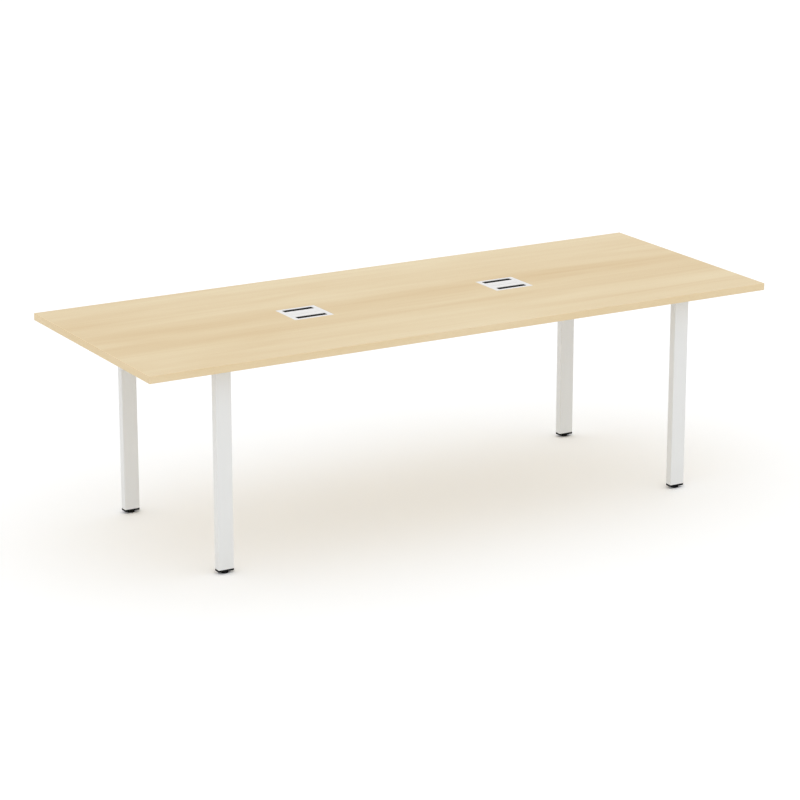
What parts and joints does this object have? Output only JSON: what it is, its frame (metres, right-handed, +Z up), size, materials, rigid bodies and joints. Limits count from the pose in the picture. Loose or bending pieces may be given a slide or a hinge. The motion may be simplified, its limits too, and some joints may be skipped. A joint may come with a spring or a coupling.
{
  "type": "conference table",
  "caption": "Long rectangular conference table: light maple board on upright white rectangular steel legs, with flush flap-top cable ports and black levelling feet.",
  "frame": {"origin": "on the floor, under the middle of the table top", "axes": "+X along the table, +Y across it towards the rear long edge, +Z up"},
  "size_m": [2.4, 0.91, 0.735],
  "materials": {
    "maple_laminate": "melamine-faced board, light maple print, satin",
    "maple_edging": "edge band, light maple print, satin",
    "white_powder_coat": "white powder coat on steel, satin",
    "black_polypropylene": "moulded, fine texture",
    "zinc_plated_steel": "bright zinc plate",
    "white_abs": "moulded, satin",
    "black_nylon_bristle": "drawn nylon bristle"
  },
  "bodies": {
    "table": {"table_top": "maple_laminate", "edge_band_front": "maple_edging", "edge_band_rear": "maple_edging", "edge_band_left": "maple_edging", "edge_band_right": "maple_edging", "leg_front_left": "white_powder_coat", "leg_rear_left": "white_powder_coat", "leg_front_right": "white_powder_coat", "leg_rear_right": "white_powder_coat", "leg_plate_front_left": "white_powder_coat", "leg_plate_rear_left": "white_powder_coat", "leg_plate_front_right": "white_powder_coat", "leg_plate_rear_right": "white_powder_coat", "cross_rail_left": "white_powder_coat", "cross_rail_right": "white_powder_coat", "long_beam_front": "white_powder_coat", "long_beam_rear": "white_powder_coat", "beam_bracket_front_left": "white_powder_coat", "beam_bracket_rear_left": "white_powder_coat", "beam_bracket_front_right": "white_powder_coat", "beam_bracket_rear_right": "white_powder_coat", "leg_cap_front_left": "black_polypropylene", "leg_cap_rear_left": "black_polypropylene", "leg_cap_front_right": "black_polypropylene", "leg_cap_rear_right": "black_polypropylene", "rail_bolt_front_left": "zinc_plated_steel", "rail_bolt_rear_left": "zinc_plated_steel", "rail_bolt_front_right": "zinc_plated_steel", "rail_bolt_rear_right": "zinc_plated_steel", "beam_bolt_front_left": "zinc_plated_steel", "beam_bolt_rear_left": "zinc_plated_steel", "beam_bolt_front_right": "zinc_plated_steel", "beam_bolt_rear_right": "zinc_plated_steel", "port_left_bezel": "white_abs", "port_left_hinge_pin_front": "zinc_plated_steel", "port_left_hinge_pin_rear": "zinc_plated_steel", "port_left_clamp_left": "zinc_plated_steel", "port_left_clamp_right": "zinc_plated_steel", "port_left_brush_front": "black_nylon_bristle", "port_left_brush_rear": "black_nylon_bristle", "port_right_bezel": "white_abs", "port_right_hinge_pin_front": "zinc_plated_steel", "port_right_hinge_pin_rear": "zinc_plated_steel", "port_right_clamp_left": "zinc_plated_steel", "port_right_clamp_right": "zinc_plated_steel", "port_right_brush_front": "black_nylon_bristle", "port_right_brush_rear": "black_nylon_bristle"},
    "port_left_flap_front": {"port_left_flap_front": "white_abs"},
    "port_left_flap_rear": {"port_left_flap_rear": "white_abs"},
    "port_right_flap_front": {"port_right_flap_front": "white_abs"},
    "port_right_flap_rear": {"port_right_flap_rear": "white_abs"},
    "foot_stud_front_left": {"foot_stud_front_left": "zinc_plated_steel"},
    "foot_pad_front_left": {"foot_pad_front_left": "black_polypropylene"},
    "foot_stud_rear_left": {"foot_stud_rear_left": "zinc_plated_steel"},
    "foot_pad_rear_left": {"foot_pad_rear_left": "black_polypropylene"},
    "foot_stud_front_right": {"foot_stud_front_right": "zinc_plated_steel"},
    "foot_pad_front_right": {"foot_pad_front_right": "black_polypropylene"},
    "foot_stud_rear_right": {"foot_stud_rear_right": "zinc_plated_steel"},
    "foot_pad_rear_right": {"foot_pad_rear_right": "black_polypropylene"}
  },
  "joints": [
    {"name": "port_left_flap_front_hinge", "type": "hinge", "parent": "table", "child": "port_left_flap_front", "pos_m": [-0.4, -0.0081, 0.7315], "axis": [-1, 0, 0], "range_deg": [0, 95]},
    {"name": "port_left_flap_rear_hinge", "type": "hinge", "parent": "table", "child": "port_left_flap_rear", "pos_m": [-0.4, 0.0081, 0.7315], "axis": [1, 0, 0], "range_deg": [0, 95]},
    {"name": "port_right_flap_front_hinge", "type": "hinge", "parent": "table", "child": "port_right_flap_front", "pos_m": [0.4, -0.0081, 0.7315], "axis": [-1, 0, 0], "range_deg": [0, 95]},
    {"name": "port_right_flap_rear_hinge", "type": "hinge", "parent": "table", "child": "port_right_flap_rear", "pos_m": [0.4, 0.0081, 0.7315], "axis": [1, 0, 0], "range_deg": [0, 95]},
    {"name": "foot_front_left_height", "type": "slide", "parent": "table", "child": "foot_stud_front_left", "axis": [0, 0, -1], "range_m": [0, 0.015]},
    {"name": "foot_front_left_turn", "type": "hinge", "parent": "foot_stud_front_left", "child": "foot_pad_front_left", "pos_m": [-0.902, -0.362, 0], "axis": [0, 0, -1], "range_deg": [0, 4320]},
    {"name": "foot_rear_left_height", "type": "slide", "parent": "table", "child": "foot_stud_rear_left", "axis": [0, 0, -1], "range_m": [0, 0.015]},
    {"name": "foot_rear_left_turn", "type": "hinge", "parent": "foot_stud_rear_left", "child": "foot_pad_rear_left", "pos_m": [-0.902, 0.362, 0], "axis": [0, 0, -1], "range_deg": [0, 4320]},
    {"name": "foot_front_right_height", "type": "slide", "parent": "table", "child": "foot_stud_front_right", "axis": [0, 0, -1], "range_m": [0, 0.015]},
    {"name": "foot_front_right_turn", "type": "hinge", "parent": "foot_stud_front_right", "child": "foot_pad_front_right", "pos_m": [0.902, -0.362, 0], "axis": [0, 0, -1], "range_deg": [0, 4320]},
    {"name": "foot_rear_right_height", "type": "slide", "parent": "table", "child": "foot_stud_rear_right", "axis": [0, 0, -1], "range_m": [0, 0.015]},
    {"name": "foot_rear_right_turn", "type": "hinge", "parent": "foot_stud_rear_right", "child": "foot_pad_rear_right", "pos_m": [0.902, 0.362, 0], "axis": [0, 0, -1], "range_deg": [0, 4320]}
  ],
  "couplings": [
    {"joint": "foot_front_left_height", "follows": "foot_front_left_turn", "m_per_rad": 0.00019894},
    {"joint": "foot_rear_left_height", "follows": "foot_rear_left_turn", "m_per_rad": 0.00019894},
    {"joint": "foot_front_right_height", "follows": "foot_front_right_turn", "m_per_rad": 0.00019894},
    {"joint": "foot_rear_right_height", "follows": "foot_rear_right_turn", "m_per_rad": 0.00019894}
  ]
}
